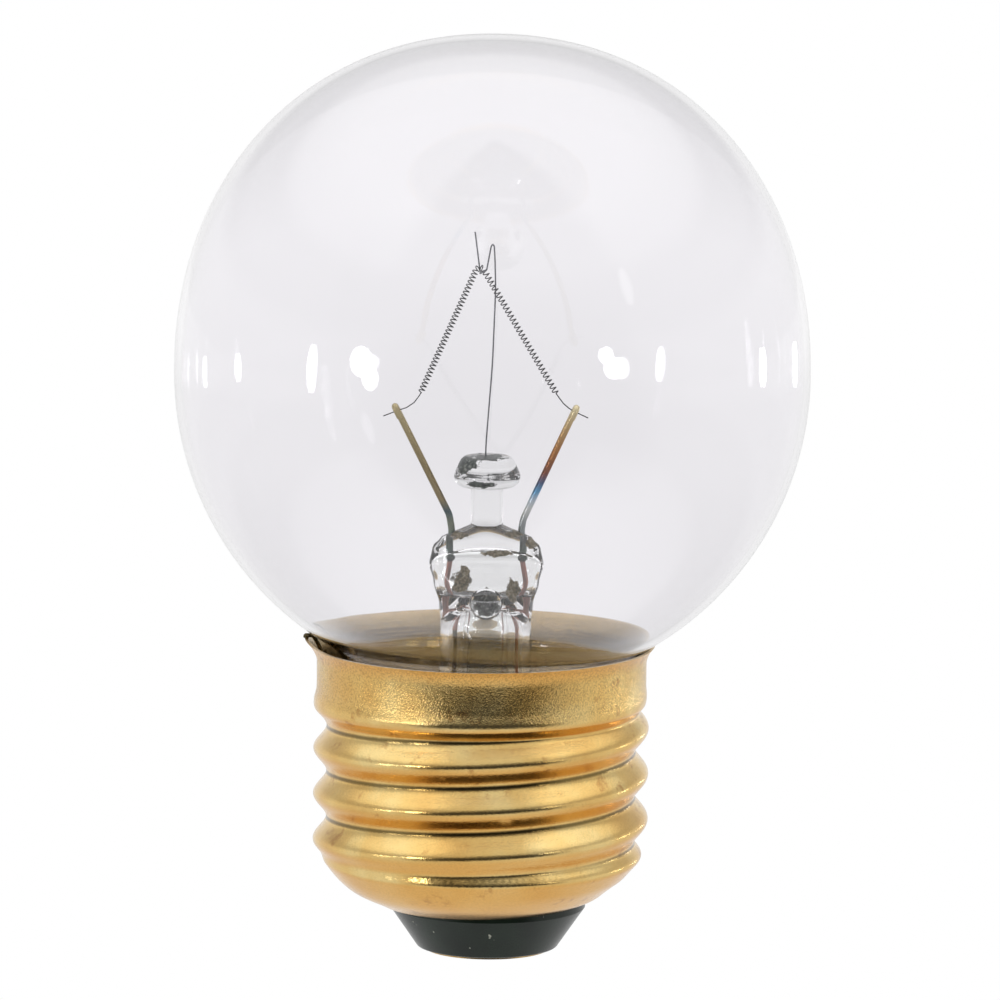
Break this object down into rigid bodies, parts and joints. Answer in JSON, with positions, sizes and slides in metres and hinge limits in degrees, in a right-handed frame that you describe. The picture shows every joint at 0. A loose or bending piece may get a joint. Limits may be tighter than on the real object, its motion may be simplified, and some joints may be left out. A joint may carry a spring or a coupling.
{
  "type": "globe light bulb",
  "caption": "Clear glass globe incandescent lamp with a hairpin coil filament on a pinched glass stem, and a brass screw shell with a black insulator and centre contact.",
  "frame": {"origin": "on the axis of the globe at the tip of the centre contact, the lowest point of the lamp", "axes": "+Z from the centre contact up the axis to the top of the globe; +X to the right-hand lead as seen from the side from which the filament's hairpin is seen open; +Y away from that side"},
  "size_m": [0.0498, 0.0498, 0.0727],
  "materials": {
    "clear_glass": "clear, polished",
    "stem_glass": "clear, fire polished",
    "support_metal": "drawn wire",
    "tungsten": "dark grey drawn wire",
    "lead_metal": "heat tinted",
    "seal_metal": "reddish oxide under glass",
    "outer_lead_metal": "bare copper",
    "shell_brass": "rolled, semi-bright, slightly tarnished",
    "contact_brass": "semi-bright",
    "black_glass": "glossy black glass",
    "solder": "dull tin",
    "cement": "matt, grainy"
  },
  "bodies": {
    "root": {"glass_envelope": "clear_glass", "glass_stem": "stem_glass", "exhaust_tube": "stem_glass", "arbor_rod": "stem_glass", "support_wire": "support_metal", "filament": "tungsten", "inner_lead_left": "lead_metal", "inner_lead_right": "lead_metal", "seal_wire_left": "seal_metal", "seal_wire_right": "seal_metal", "outer_lead_side": "outer_lead_metal", "outer_lead_centre": "outer_lead_metal", "screw_shell": "shell_brass", "contact_eyelet": "contact_brass", "base_insulator": "black_glass", "centre_solder": "solder", "side_solder": "solder", "basing_cement": "cement"}
  },
  "joints": []
}
